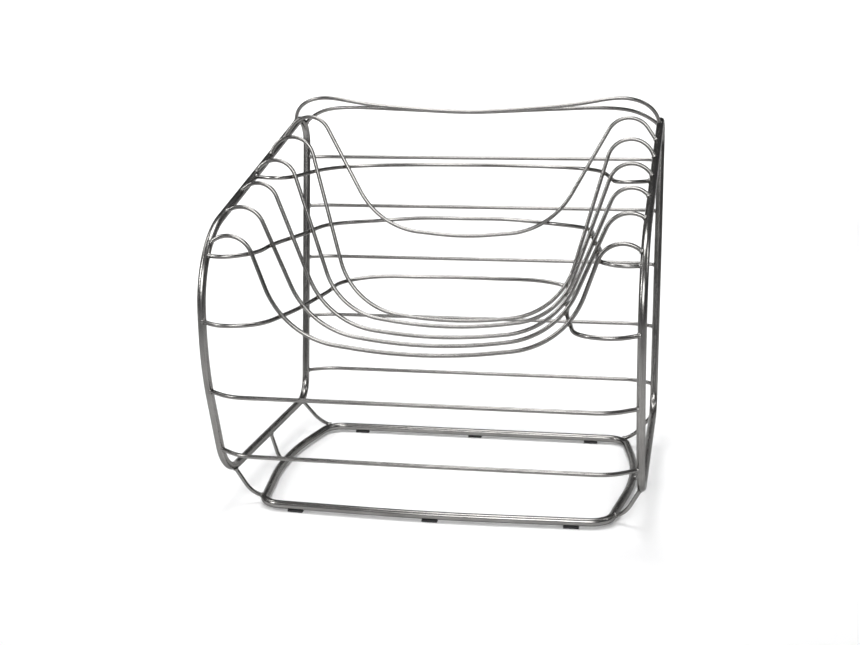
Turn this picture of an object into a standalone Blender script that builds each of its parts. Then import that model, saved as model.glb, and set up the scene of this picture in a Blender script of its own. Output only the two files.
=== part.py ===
"""Wire lounge chair: a shell of bent rods hung between two tube side frames on a tube base ring.

Metres, +Z up. The sitter faces -Y, and the origin is on the floor under the middle of the chair.
Every rod is welded where it meets a tube or another rod, so nothing on the chair moves.
"""
import math

import bmesh
import bpy
import numpy as np

# Stock
TUBE_D = 0.016
ROD_D = 0.008
WELD_GAP = 0.0003               # left between pieces that touch
BEND_STEP = math.radians(14)    # the most turn one segment of a bend takes
BEND_SPAN = 0.060               # the most length one segment of a bend takes
BEND_ROOM = 0.98                # share of a straight that the bends at its two ends may use up
BEND_STRAIGHT = ROD_D / 8       # least straight bar left between a bend and an end or another bend
TUBE_ROUNDNESS = 4              # bevel resolution: 12 sides
ROD_ROUNDNESS = 2               # bevel resolution: 8 sides

# Finishes: colour, metallic, roughness
STEEL = ((0.62, 0.61, 0.59), 1.0, 0.28)
RUBBER = ((0.02, 0.02, 0.02), 0.0, 0.75)

# Overall sizes
SIDE_X = 0.400                  # from the middle of the chair to the centre of a side frame
DEPTH = 0.766                   # over the front of the lower hoop and the top back rail
ARM_FRONT_Z = 0.5445            # corner of the arm bar and the front bar
ARM_SLOPE = math.radians(14.4)  # the arm bar climbs to the rear

# Side frames: bottom bar, front bar with a knee, arm bar, back bar
FRONT_Y = -DEPTH / 2 + 0.038
CREST_Y = DEPTH / 2 + 0.0026
TOE_Y = FRONT_Y + 0.084
HEEL_Y = CREST_Y - 0.090
BAR_Z = 0.079
KNEE_Z = 0.318
TOE_R = 0.100
KNEE_R = 0.420
ARM_R = 0.165
CREST_R = 0.052
HEEL_R = 0.050

# Base ring, lying flat on six glides
RING_FRONT_Y = TOE_Y + 0.032
RING_BOW_Y = 0.0165             # the front edge bows forward by this at its corner line
RING_REAR_Y = HEEL_Y - 0.010
RING_CORNER_X = 0.339
RING_BELLY_X = 0.381            # the sides swell out to this line
RING_BELLY_Y = (TOE_Y + HEEL_Y) / 2 + 0.0385
RING_CORNER_R = 0.045
RING_BELLY_R = 0.800
RING_BOW_R = 2.800

# Glides
GLIDE_SIZE = (0.030, 0.012, 0.005)
GLIDE_LIP = 0.0008              # how far a glide's top wraps up round the tube
GLIDE_CHAMFER = 0.0012
GLIDE_STEM_D = 0.0045
GLIDE_STEM_H = 0.0070           # length of stem inside the tube's wall
GLIDE_FRONT_X = 0.270
GLIDE_REAR_X = 0.263
GLIDE_HEADING_STEP = 0.004      # a glide lies along the ring between places this far to its sides
RING_Z = GLIDE_SIZE[2] - GLIDE_LIP + WELD_GAP + TUBE_D / 2

# Struts from the bottom bars to the base ring
STRUT_TOP_Y = {"front": TOE_Y + 0.047, "middle": (TOE_Y + HEEL_Y) / 2 + 0.005, "rear": HEEL_Y - 0.035}
STRUT_SPLAY = {"front": 0.025, "middle": 0.0, "rear": 0.020}     # foot behind its top
STRUT_ELBOW = (0.40, 0.11)      # where the elbow stands between ring and bar, across and up
STRUT_R = 0.090

# Seat rods: stations along the arm bar, then the shape of each one from its own four sizes
FIRST_ROD_Y = FRONT_Y + 0.052
TOP_RAIL_Y = CREST_Y - 0.092
TOP_RAIL_SPACE = 0.103          # last rod to top rail
ROD_COUNT = 6
ROD_PITCH = (TOP_RAIL_Y - TOP_RAIL_SPACE - FIRST_ROD_Y) / (ROD_COUNT - 1)
FLOOR_BACK = 0.004              # the first rod's floor stands this far behind its feet
FLOOR_FAN = 0.0134              # the rods stand this much closer together under the seat
SEAT_Z = 0.328
ROD_TOP_INSET = (0.0555, 0.052, 0.0435, 0.046, 0.0595, 0.0633)  # arch corner inside the side frame
ROD_ARCH_RISE = (0.064, 0.038, 0.0683, 0.1086, 0.13, 0.092)  # arch corner above the arm bar
ROD_FLOOR_INSET = (0.1385, 0.1634, 0.1748, 0.1768, 0.1835, 0.2165)  # floor corner inside the side frame
BACK_ROD_Z = ARM_FRONT_Z - 0.061   # where the last rod crosses the back, below the arms' front corners
ROD_FLOOR_DROP = (-0.0038, 0.0, 0.0, 0.0014, 0.0066, SEAT_Z - BACK_ROD_Z)  # floor below the seat height
ROD_FLOOR_SWELL = (0.0349, 0.035, 0.0265, 0.0333, 0.0288, 0.0169)  # floor corner above the floor's middle
ROD_FLOOR_R = (0.162, 0.165, 0.165, 0.137, 0.152, 0.167)
ROD_MIDDLE_R = (1.0, 0.9, 0.9, 0.83, 0.83, 0.55)
ROD_ARCH_R = 0.047
BACK_ROD_LEAN = 0.029           # the last rod's floor stands this far in front of its arches

# Hoops round the shell: the rods they pass behind, and their plan between rods and middle
HOOPS = {
    "hoop_lower": {"rods": (0, 1, 2, 3, 4),
                   "foot_z": SEAT_Z + 0.078, "front_z": SEAT_Z + 0.081, "rear_z": SEAT_Z + 0.079,
                   "corner": ((-0.047, -0.033), (-0.102, -0.018)),
                   "rear": ((0.87, 0.022), (0.42, 0.047)), "middle": 0.052},
    "hoop_middle": {"rods": (0, 1, 2, 3, 4, 5), "foot_z": ARM_FRONT_Z - 0.0235,
                    "front_z": ARM_FRONT_Z - 0.0195, "rear_z": ARM_FRONT_Z - 0.0245,
                    "corner": ((-0.034, -0.010),),
                    "rear": ((0.50, 0.013),), "middle": 0.014},
    "hoop_upper": {"rods": (3, 4, 5), "foot_z": None,
                   "front_z": ARM_FRONT_Z + 0.0865, "rear_z": ARM_FRONT_Z + 0.0855,
                   "corner": ((-0.036, -0.022), (-0.062, -0.022)),
                   "rear": ((0.45, 0.024),), "middle": 0.030},
}
HOOP_FOOT_GAP = 0.0006          # between the feet of the upper hoop and of the first rod it passes
UPPER_HOOP_Y = FIRST_ROD_Y + HOOPS["hoop_upper"]["rods"][0] * ROD_PITCH - ROD_D - HOOP_FOOT_GAP
HOOP_GAP = 0.0009               # between a hoop and the rods it passes
HOOP_SHARE = 3                  # segments of a hoop between two of its shape points

# Rails across the front and the back, and the two rails at the top of the back
FRONT_RAIL_Z = {"upper": 0.268, "lower": 0.140}
UPPER_FRONT_RAIL_Y = -DEPTH / 2 + 0.017
LOWER_FRONT_RAIL_REACH = 0.041
LOWER_FRONT_RAIL_BOW = 0.003    # its middle stands this far in front of its ends
LOWER_FRONT_RAIL_BOW_R = 2.000
FRONT_RAIL_END = 0.052          # length of a rail's bent end, inwards from the side frame
FRONT_RAIL_R = 0.085
BACK_RAIL_Z = (0.138, 0.264, SEAT_Z + 0.071, ARM_FRONT_Z - 0.0285, ARM_FRONT_Z + 0.0815)
BACK_RAIL_LOW_REACH = 0.030
BACK_RAIL_END = 0.040
BACK_RAIL_R = 0.100
TOP_RAIL = ((0.978, -0.015, 0.0255), (0.925, -0.030, 0.0470), (0.825, -0.040, 0.0593),
            (0.645, -0.044, 0.0520), (0.300, -0.038, 0.0365), (0.0, -0.036, 0.0305))
TOP_BRACE = ((0.938, 0.047, 0.0110), (0.862, 0.032, 0.0260), (0.750, 0.018, 0.0340),
             (0.500, -0.005, 0.0345), (0.300, -0.022, 0.0325))
TOP_BRACE_DROP = 0.0086         # the brace leaves the back bar this far below the top rail's foot
TOP_BRACE_SIDE = (0.0, 0.974, -0.227)   # direction from the top rail to the brace at their middles
TOP_RAIL_SHARE = 3


def rounded(corners, radii):
    """The line through the corners, each one bent to its radius; a radius of 0 is an end."""
    corners = np.array(corners, float)
    spans = np.roll(corners, -1, axis=0) - corners
    lengths = np.linalg.norm(spans, axis=1)
    onwards = spans / lengths[:, None]
    backwards = -np.roll(onwards, 1, axis=0)
    turns = math.pi - np.arccos(np.clip((onwards * backwards).sum(axis=1), -1.0, 1.0))
    wanted = np.array(radii) * np.tan(turns / 2)
    free = np.minimum(lengths * BEND_ROOM, lengths - BEND_STRAIGHT)
    room = free / np.maximum(wanted + np.roll(wanted, -1), free)
    reaches = wanted * np.minimum(room, np.roll(room, 1))
    path = []
    for i, corner in enumerate(corners):
        if radii[i] == 0:
            path.append(corner)
            continue
        turn = turns[i]
        radius = reaches[i] / math.tan(turn / 2)
        bisector = (backwards[i] + onwards[i]) / np.linalg.norm(backwards[i] + onwards[i])
        centre = corner + bisector * radius / math.cos(turn / 2)
        start = corner + backwards[i] * reaches[i] - centre
        end = corner + onwards[i] * reaches[i] - centre
        steps = max(2, math.ceil(turn / BEND_STEP), math.ceil(turn * radius / BEND_SPAN))
        for k in range(steps + 1):
            share = k / steps
            spoke = math.sin((1 - share) * turn) * start + math.sin(share * turn) * end
            path.append(centre + spoke / math.sin(turn))
    return np.array(path)


def smooth(points, share):
    """A natural cubic spline through the points, with some segments between each two."""
    points = np.array(points, float)
    steps = np.linalg.norm(np.diff(points, axis=0), axis=1)
    count = len(points)
    system = np.eye(count)
    pull = np.zeros((count, 3))
    for i in range(1, count - 1):
        system[i, i - 1:i + 2] = (steps[i - 1], 2 * (steps[i - 1] + steps[i]), steps[i])
        pull[i] = 6 * ((points[i + 1] - points[i]) / steps[i] - (points[i] - points[i - 1]) / steps[i - 1])
    bend = np.linalg.solve(system, pull)
    path = []
    for i, step in enumerate(steps):
        for k in range(share):
            t = k / share * step
            rest = step - t
            value = (bend[i] * rest ** 3 + bend[i + 1] * t ** 3) / (6 * step)
            value += (points[i] / step - bend[i] * step / 6) * rest
            value += (points[i + 1] / step - bend[i + 1] * step / 6) * t
            path.append(value)
    path.append(points[-1])
    return np.array(path)


def mirrored(half):
    """A whole rod from its right half, which runs from the side frame to the middle."""
    half = [np.array(point, float) for point in half]
    left = [point * (-1, 1, 1) for point in half if point[0] > 0]
    return half + left[::-1]


def crossings(path, axis, value):
    """Every place where a line passes a coordinate."""
    found = []
    for start, end in zip(path[:-1], path[1:]):
        if (start[axis] - value) * (end[axis] - value) <= 0 and start[axis] != end[axis]:
            found.append(start + (end - start) * (value - start[axis]) / (end[axis] - start[axis]))
    return found


def side_loop():
    """Centreline of the right side frame, from the toe round the front, over the arm to the heel."""
    crest_z = ARM_FRONT_Z + (CREST_Y - FRONT_Y) * math.tan(ARM_SLOPE)
    corners = (
        (SIDE_X, TOE_Y, BAR_Z),
        (SIDE_X, FRONT_Y, KNEE_Z),
        (SIDE_X, FRONT_Y, ARM_FRONT_Z),
        (SIDE_X, CREST_Y, crest_z),
        (SIDE_X, HEEL_Y, BAR_Z),
    )
    return rounded(corners, (TOE_R, KNEE_R, ARM_R, CREST_R, HEEL_R))


def ring_loop():
    """Centreline of the base ring: bowed front edge, straight rear edge and swelling sides."""
    right = (
        (RING_CORNER_X, RING_REAR_Y, RING_Z),
        (RING_BELLY_X, RING_BELLY_Y, RING_Z),
        (RING_CORNER_X, RING_FRONT_Y, RING_Z),
    )
    radii = (RING_CORNER_R, RING_BELLY_R, RING_CORNER_R)
    front = (0.0, RING_FRONT_Y - RING_BOW_Y, RING_Z)
    left = [(-x, y, z) for x, y, z in reversed(right)]
    return rounded((*right, front, *left), (*radii, RING_BOW_R, *radii[::-1]))


def on_side(axis, value, pick):
    """The place where the right side frame passes a coordinate; pick chooses among them."""
    loop = side_loop()
    return pick(crossings(np.vstack((loop, loop[:1])), axis, value), key=lambda place: place[3 - axis])


def on_arm(y):
    """Where the top of the right side frame stands at a depth."""
    return on_side(1, y, max)


def seat_rod(i):
    """A rod of the seat or the back: from the right arm bar over its arch, down and across."""
    station = FIRST_ROD_Y + ROD_PITCH * i
    foot = on_arm(station)
    floor_y = FIRST_ROD_Y + FLOOR_BACK + (ROD_PITCH - FLOOR_FAN) * i
    if i == ROD_COUNT - 1:
        floor_y = station - BACK_ROD_LEAN
    floor_z = SEAT_Z - ROD_FLOOR_DROP[i]
    lean = (foot[1] - floor_y) / (foot[2] - floor_z)

    def in_plane(x, z):
        return (x, floor_y + lean * (z - floor_z), z)

    right = (
        tuple(foot),
        in_plane(SIDE_X - ROD_TOP_INSET[i], foot[2] + ROD_ARCH_RISE[i]),
        in_plane(SIDE_X - ROD_FLOOR_INSET[i], floor_z + ROD_FLOOR_SWELL[i]),
        in_plane(0.0, floor_z),
    )
    radii = (0, ROD_ARCH_R, ROD_FLOOR_R[i])
    return rounded(mirrored(right), (*radii, ROD_MIDDLE_R[i], *reversed(radii)))


def wall_crossing(path, level):
    """Where the right wall of a seat rod passes a height, and its direction upwards there."""
    half = path[:len(path) // 2 + 1]
    wall = half[np.argmax(half[:, 2]):]
    place = crossings(wall, 2, level)[0]
    after = next(i for i, point in enumerate(wall) if point[2] <= level)
    return place, (wall[after - 1] - wall[after]) / np.linalg.norm(wall[after - 1] - wall[after])


def hoop(shape, rods):
    """A hoop of the shell: welded to the side frames and to the outside of every rod it passes."""
    if shape["foot_z"] is None:
        start = on_arm(UPPER_HOOP_Y)
    else:
        start = on_side(2, shape["foot_z"], min)
    passed = shape["rods"]
    levels = np.linspace(shape["front_z"], shape["rear_z"], len(passed))
    walls = [wall_crossing(rods[i], level) for i, level in zip(passed, levels)]
    last = walls[-1][0]
    rear = [last * (share, 1.0, 1.0) + (0.0, behind, 0.0) for share, behind in shape["rear"]]
    rear.append(last * (0.0, 1.0, 1.0) + (0.0, shape["middle"], 0.0))
    outline = np.array([place for place, _ in walls] + [rear[0]])
    steps = np.diff(outline, axis=0)
    steps /= np.linalg.norm(steps, axis=1)[:, None]
    half = [start]
    half += [start + (x, y, 0.0) for x, y in shape["corner"]]
    for i, (place, upwards) in enumerate(walls):
        along = steps[i] + steps[max(i - 1, 0)]
        outwards = np.cross(along * (1, 1, 0), upwards)
        half.append(place + outwards / np.linalg.norm(outwards) * (ROD_D + HOOP_GAP))
    half += rear
    return smooth(mirrored(half), HOOP_SHARE)


def rail(foot, y, bow=0.0):
    """A rail between the side frames: straight or bowed at depth y, with ends bent to reach their feet."""
    end = FRONT_RAIL_END if y < foot[1] else BACK_RAIL_END
    radius = FRONT_RAIL_R if y < foot[1] else BACK_RAIL_R
    half = [foot, (SIDE_X - end, y, foot[2])]
    if not bow:
        return rounded(mirrored(half), (0, radius, radius, 0))
    half.append((0.0, y - bow, foot[2]))
    return rounded(mirrored(half), (0, radius, LOWER_FRONT_RAIL_BOW_R, radius, 0))


def top_rails():
    """The top rail, rising to an ear beside each arm, and the brace welded along its back."""
    foot = on_arm(TOP_RAIL_Y)
    low = on_side(2, foot[2] - TOP_BRACE_DROP, max)
    rail_half = [foot] + [(x * SIDE_X, foot[1] + y, foot[2] + z) for x, y, z in TOP_RAIL]
    brace_half = [low] + [(x * SIDE_X, foot[1] + y, foot[2] + z) for x, y, z in TOP_BRACE]
    behind = np.array(TOP_BRACE_SIDE) * (ROD_D + WELD_GAP)
    brace_half.append(rail_half[-1] + behind)
    return {
        "top_rail": smooth(mirrored(rail_half), TOP_RAIL_SHARE),
        "top_brace": smooth(mirrored(brace_half), TOP_RAIL_SHARE),
    }


def strut(ring, place):
    """A bent rod from the right bottom bar down and in to the base ring."""
    top = on_side(1, STRUT_TOP_Y[place], min)
    foot_y = STRUT_TOP_Y[place] + STRUT_SPLAY[place]
    foot = max(crossings(np.vstack((ring, ring[:1])), 1, foot_y), key=lambda spot: spot[0])
    elbow = foot + (top - foot) * (STRUT_ELBOW[0], 0.5, STRUT_ELBOW[1])
    return rounded((top, elbow, foot), (0, STRUT_R, 0))


def all_rods(ring):
    """Every rod of the chair by name, as a centreline that ends inside the tubes it is welded to."""
    rods = [seat_rod(i) for i in range(ROD_COUNT)]
    lines = {f"seat_rod_{i + 1}": line for i, line in enumerate(rods[:-1])}
    lines["back_rod"] = rods[-1]
    for name, shape in HOOPS.items():
        lines[name] = hoop(shape, rods)
    lines.update(top_rails())
    lines["front_rail_upper"] = rail(on_side(2, FRONT_RAIL_Z["upper"], min), UPPER_FRONT_RAIL_Y)
    foot = on_side(2, FRONT_RAIL_Z["lower"], min)
    lines["front_rail_lower"] = rail(foot, foot[1] - LOWER_FRONT_RAIL_REACH, LOWER_FRONT_RAIL_BOW)
    top_reach = DEPTH / 2 - ROD_D / 2 - on_side(2, BACK_RAIL_Z[-1], max)[1]
    reaches = np.linspace(BACK_RAIL_LOW_REACH, top_reach, len(BACK_RAIL_Z))
    for i, (z, reach) in enumerate(zip(BACK_RAIL_Z, reaches), start=1):
        foot = on_side(2, z, max)
        lines[f"back_rail_{i}"] = rail(foot, foot[1] + reach)
    for place in STRUT_TOP_Y:
        right = strut(ring, place)
        lines[f"strut_{place}_right"] = right
        lines[f"strut_{place}_left"] = right * (-1, 1, 1)
    return lines


def material(name, colour, metallic, roughness):
    """A plain finish."""
    finish = bpy.data.materials.new(name)
    finish.use_nodes = True
    shader = finish.node_tree.nodes["Principled BSDF"]
    shader.inputs["Base Color"].default_value = (*colour, 1.0)
    shader.inputs["Metallic"].default_value = metallic
    shader.inputs["Roughness"].default_value = roughness
    return finish


def add_object(name, mesh, finish=None):
    """Put a mesh in the scene; without a finish it is a hidden cutter."""
    mesh.shade_smooth()
    mesh.set_sharp_from_angle(angle=math.radians(40))
    piece = bpy.data.objects.new(name, mesh)
    bpy.context.collection.objects.link(piece)
    if finish is None:
        piece.hide_render = True
        piece.display_type = "WIRE"
    else:
        mesh.materials.clear()
        mesh.materials.append(material(f"{name}_finish", *finish))
    return piece


def swept(lines, diameter, roundness, closed):
    """A mesh of round bar along each line."""
    curve = bpy.data.curves.new("sweep", "CURVE")
    curve.dimensions = "3D"
    curve.bevel_depth = diameter / 2
    curve.bevel_resolution = roundness
    curve.use_fill_caps = True
    for line in lines:
        spline = curve.splines.new("POLY")
        spline.points.add(len(line) - 1)
        spline.points.foreach_set("co", np.column_stack((line, np.ones(len(line)))).ravel())
        spline.use_cyclic_u = closed
    guide = bpy.data.objects.new("sweep", curve)
    bpy.context.collection.objects.link(guide)
    mesh = bpy.data.meshes.new_from_object(guide.evaluated_get(bpy.context.evaluated_depsgraph_get()))
    bpy.data.objects.remove(guide)
    bpy.data.curves.remove(curve)
    return mesh


def boolean(piece, operation, other):
    """Cut a piece with another mesh, or join the other mesh to it."""
    modifier = piece.modifiers.new(operation.lower(), "BOOLEAN")
    modifier.operation = operation
    modifier.solver = "EXACT"
    modifier.object = other


def cylinder(diameter, low, high, sides=12):
    """A standing round bar on the Z axis, as a mesh being edited."""
    shape = bmesh.new()
    bmesh.ops.create_cone(
        shape, cap_ends=True, segments=sides, radius1=diameter / 2, radius2=diameter / 2, depth=high - low
    )
    bmesh.ops.translate(shape, verts=shape.verts, vec=(0, 0, (low + high) / 2))
    return shape


def to_mesh(shape, name):
    """Turn an edited shape into a mesh."""
    mesh = bpy.data.meshes.new(name)
    shape.to_mesh(mesh)
    shape.free()
    return mesh


def glide_block():
    """A rubber glide before its seat is cut: a block with chamfered edges round its sole."""
    shape = bmesh.new()
    bmesh.ops.create_cube(shape, size=1.0)
    bmesh.ops.scale(shape, vec=GLIDE_SIZE, verts=shape.verts)
    bmesh.ops.translate(shape, vec=(0, 0, GLIDE_SIZE[2] / 2), verts=shape.verts)
    edges = [edge for edge in shape.edges if min(vert.co.z for vert in edge.verts) < GLIDE_CHAMFER]
    bmesh.ops.bevel(shape, geom=edges, offset=GLIDE_CHAMFER, segments=1, affect="EDGES")
    return to_mesh(shape, "glide")


def glide_places(ring):
    """Name, place and heading of each glide along the ring's front and rear edges."""
    places = []
    for row, pick, reach in (("front", min, GLIDE_FRONT_X), ("rear", max, GLIDE_REAR_X)):
        for side, x in (("left", -reach), ("middle", 0.0), ("right", reach)):
            loop = np.vstack((ring, ring[:1]))
            near = [
                pick(crossings(loop, 0, x + step), key=lambda place: place[1])
                for step in (-GLIDE_HEADING_STEP, 0, GLIDE_HEADING_STEP)
            ]
            heading = math.atan2(near[2][1] - near[0][1], near[2][0] - near[0][0])
            places.append((f"glide_{row}_{side}", near[1], heading))
    return places


def main():
    for old in list(bpy.data.objects):
        bpy.data.objects.remove(old)

    side = side_loop()
    ring = ring_loop()
    rods = all_rods(ring)
    depths = np.concatenate([line[:, 1] for line in rods.values()])
    centring = (0.0, -(depths.min() + depths.max()) / 2, 0.0)
    side += centring
    ring += centring
    sides = {"right": side, "left": side * (-1, 1, 1)}
    room = TUBE_D + 2 * WELD_GAP
    side_cutters = {
        hand: add_object(f"side_frame_{hand}_cutter", swept([line], room, TUBE_ROUNDNESS, True))
        for hand, line in sides.items()
    }
    ring_cutter = add_object("base_ring_cutter", swept([ring], room, TUBE_ROUNDNESS, True))

    for hand, line in sides.items():
        add_object(f"side_frame_{hand}", swept([line], TUBE_D, TUBE_ROUNDNESS, True), STEEL)
    base_ring = add_object("base_ring", swept([ring], TUBE_D, TUBE_ROUNDNESS, True), STEEL)

    for name, line in rods.items():
        piece = add_object(name, swept([line + centring], ROD_D, ROD_ROUNDNESS, False), STEEL)
        for hand, cutter in side_cutters.items():
            if name.endswith(hand) or not name.startswith("strut"):
                boolean(piece, "DIFFERENCE", cutter)
        if name.startswith("strut"):
            boolean(piece, "DIFFERENCE", ring_cutter)

    stem_top = RING_Z - TUBE_D / 2 + GLIDE_STEM_H
    stem = to_mesh(cylinder(GLIDE_STEM_D, GLIDE_SIZE[2] / 2, stem_top), "glide_stem")
    hole = to_mesh(cylinder(GLIDE_STEM_D + 2 * WELD_GAP, 0.0, stem_top + WELD_GAP), "glide_hole")
    for name, place, heading in glide_places(ring):
        glide = add_object(name, glide_block(), RUBBER)
        joined = add_object(f"{name}_stem", stem.copy())
        drill = add_object(f"{name}_drill", hole.copy())
        for thing in (glide, joined, drill):
            thing.location = (place[0], place[1], 0.0)
            thing.rotation_euler.z = heading
        boolean(glide, "DIFFERENCE", ring_cutter)
        boolean(glide, "UNION", joined)
        boolean(base_ring, "DIFFERENCE", drill)


main()
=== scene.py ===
"""Wire lounge chair: a shell of bent stainless rods hung between two tube side frames on a tube base ring.

Every bar is a fine sweep along the same centreline as its CAD node, flared into a small weld fillet
where it meets a tube. Metres, +Z up. The sitter faces -Y and the origin is on the floor under the
middle of the chair. Nothing on the chair moves.
"""
import math

import bmesh
import bpy
import numpy as np
from bpy.props import FloatProperty, FloatVectorProperty, IntProperty, PointerProperty
from mathutils import Matrix, Vector, noise


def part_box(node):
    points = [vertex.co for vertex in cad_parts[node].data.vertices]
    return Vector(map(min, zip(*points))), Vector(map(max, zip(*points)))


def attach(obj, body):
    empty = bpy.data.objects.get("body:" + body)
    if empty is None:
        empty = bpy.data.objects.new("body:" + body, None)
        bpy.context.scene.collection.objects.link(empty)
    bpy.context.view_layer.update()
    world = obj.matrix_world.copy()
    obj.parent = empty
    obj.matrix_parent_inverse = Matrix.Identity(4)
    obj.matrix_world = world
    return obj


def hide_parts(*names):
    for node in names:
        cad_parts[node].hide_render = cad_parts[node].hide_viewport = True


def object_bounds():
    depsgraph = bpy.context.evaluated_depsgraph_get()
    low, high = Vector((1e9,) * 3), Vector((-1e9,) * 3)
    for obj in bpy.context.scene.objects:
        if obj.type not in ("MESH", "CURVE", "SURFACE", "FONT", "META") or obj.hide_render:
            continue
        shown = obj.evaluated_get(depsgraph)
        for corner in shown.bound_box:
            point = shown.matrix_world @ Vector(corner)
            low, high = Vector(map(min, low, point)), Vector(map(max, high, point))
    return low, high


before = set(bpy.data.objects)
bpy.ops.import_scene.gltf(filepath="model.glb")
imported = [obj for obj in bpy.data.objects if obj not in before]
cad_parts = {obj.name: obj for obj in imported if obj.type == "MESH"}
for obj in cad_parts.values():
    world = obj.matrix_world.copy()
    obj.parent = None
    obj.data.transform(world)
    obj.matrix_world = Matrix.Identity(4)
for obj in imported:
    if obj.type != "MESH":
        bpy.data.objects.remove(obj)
CAD_BOX = [list(corner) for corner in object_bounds()]

bl_info = {
    "name": "Wire Lounge Chair",
    "version": (1, 0, 0),
    "blender": (4, 5, 0),
    "location": "View3D > Sidebar > Wire Chair",
    "description": "Builds a lounge chair of bent stainless rod and tube round its CAD frame",
    "category": "Add Mesh",
}

BODY = "root"
STEEL_SLOT = "stainless"
RUBBER_SLOT = "rubber"

# Sizes that the CAD frame gives
SIDE_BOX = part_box("side_frame_right")
RAIL_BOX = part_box("back_rail_5")
TUBE_D = SIDE_BOX[1].x - SIDE_BOX[0].x
SIDE_X = (SIDE_BOX[1].x + SIDE_BOX[0].x) / 2
ROD_D = RAIL_BOX[1].z - RAIL_BOX[0].z
DEPTH = CAD_BOX[1][1] - CAD_BOX[0][1]

# How closely the bars are drawn
BEND_STEP = math.radians(1.5)   # the most turn between two points of a bend
BEND_SPAN = 0.008               # the most length between two points of a bend
BEND_ROOM = 0.98                # share of a straight that the bends at its two ends may use up
BEND_STRAIGHT = 0.001           # least straight bar left between a bend and an end or another bend
CURVE_SHARE = 16                # points of a spline between two of its shape points
ROD_STEP = 0.0050               # between two rings of a rod
TUBE_STEP = 0.0070              # between two rings of a tube
RING_GAP = 0.0004               # the least between two rings of a tube
END_REACH = 0.0320              # length at each end of a rod that is drawn more finely
SHARP_ANGLE = math.radians(50)  # an edge of a bar sharper than this stays sharp
PLACE_SLACK = 0.006             # how far a bar may differ from the box of its CAD node

# Welds
WELD_STEP = 0.0006              # between two rings of a weld
WELD_REACH = 0.0030             # length of a fillet along its rod
WELD_BURY = 0.0016              # how far a rod's end goes below the tube's face
WELD_AIR = 0.0012               # the most air between two rods that are welded together
WELD_SEARCH = 0.0015            # between the places of a rod that are tried for a weld
HEAT_REACH = 0.0130             # how far from a weld the steel is tinted
LUMP_TURN = 1.3                 # how fast a weld's lumps change round its bar
LUMP_SCALE = 160                # and along it, for each metre
LUMP_SEEDS = 37                 # how many patterns of lumps there are
SEAM_REACH = 0.006              # drawn finely to each side of a tube's butt weld
SEAM_RINGS = 17
SEAM_HEIGHT = 0.00035
SEAM_WIDTH = 0.0016
SEAM_SEED = 5
SIDE_SEAM_Y = 0.12              # seam of a side frame, behind the middle of its bottom bar
RING_SEAM_X = 0.105             # seam of the base ring, on its rear edge
BRACE_WELD_X = 0.052            # outer welds of the brace, from the middle of the top rail
BEAD_SIZE = (0.50, 0.34, 0.30)  # a crossing weld along, across and high, in rod diameters

# Side frames
FRONT_INSET = 0.038             # front bars behind the front of the lower hoop
CREST_OVERHANG = 0.0026         # corner of the crest behind the top back rail
TOE_BACK = 0.084                # toe corner behind the front bars
HEEL_FORWARD = 0.090            # heel corner in front of the crest's
ARM_FRONT_Z = 0.5445
ARM_SLOPE = math.radians(14.4)
BAR_Z = 0.079
KNEE_Z = 0.318
TOE_R = 0.100
KNEE_R = 0.420
ARM_R = 0.165
CREST_R = 0.052
HEEL_R = 0.050

# Base ring
RING_FRONT_BACK = 0.032         # front corners behind the toes of the side frames
RING_REAR_FORWARD = 0.010       # rear edge in front of their heels
RING_BELLY_BACK = 0.0385        # widest place behind the middle of the bottom bars
RING_BOW_Y = 0.0165
RING_CORNER_X = 0.339
RING_BELLY_X = 0.381
RING_CORNER_R = 0.045
RING_BELLY_R = 0.800
RING_BOW_R = 2.800
RING_Z = 0.0125

# Seat rods, front to back
SEAT_Z = 0.328
ROD_COUNT = 6
FIRST_ROD_BACK = 0.052          # first rod behind the front bars
LAST_ROD_GAP = 0.103            # from the last rod to the top rail
ROD_TOP_INSET = (0.0555, 0.052, 0.0435, 0.046, 0.0595, 0.0633)
ROD_ARCH_RISE = (0.064, 0.038, 0.0683, 0.1086, 0.13, 0.092)
ROD_FLOOR_INSET = (0.1385, 0.1634, 0.1748, 0.1768, 0.1835, 0.2165)
ROD_FLOOR_DROP = (-0.0038, 0.0, 0.0, 0.0014, 0.0066, -0.1555)
ROD_FLOOR_SWELL = (0.0349, 0.035, 0.0265, 0.0333, 0.0288, 0.0169)
ROD_FLOOR_R = (0.162, 0.165, 0.165, 0.137, 0.152, 0.167)
ROD_MIDDLE_R = (1.0, 0.9, 0.9, 0.83, 0.83, 0.55)
ROD_ARCH_R = 0.047
BACK_ROD_LEAN = 0.029
FLOOR_BACK = 0.004              # floor of the first rod behind its foot
FLOOR_FAN = 0.0134              # how much closer the rods stand on the floor than on the arms

# Hoops round the shell: the rods that each one passes, the heights of its foot, front and rear, its bend
# from the foot, its way round the rear as shares of the last rod's x and distances behind, and the middle
HOOPS = {
    "hoop_lower": {"rods": (0, 1, 2, 3, 4), "foot_z": 0.406, "front_z": 0.409, "rear_z": 0.407,
                   "corner": ((-0.047, -0.033), (-0.102, -0.018)),
                   "rear": ((0.87, 0.022), (0.42, 0.047)), "middle": 0.052},
    "hoop_middle": {"rods": (0, 1, 2, 3, 4, 5), "foot_z": 0.521, "front_z": 0.525, "rear_z": 0.520,
                    "corner": ((-0.034, -0.010),),
                    "rear": ((0.50, 0.013),), "middle": 0.014},
    "hoop_upper": {"rods": (3, 4, 5), "foot_z": None, "front_z": 0.631, "rear_z": 0.630,
                   "corner": ((-0.036, -0.022), (-0.062, -0.022)),
                   "rear": ((0.45, 0.024),), "middle": 0.030},
}
HOOP_GAP = 0.0009
UPPER_HOOP_BACK = 0.33356       # foot of the upper hoop behind the front bars

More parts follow.
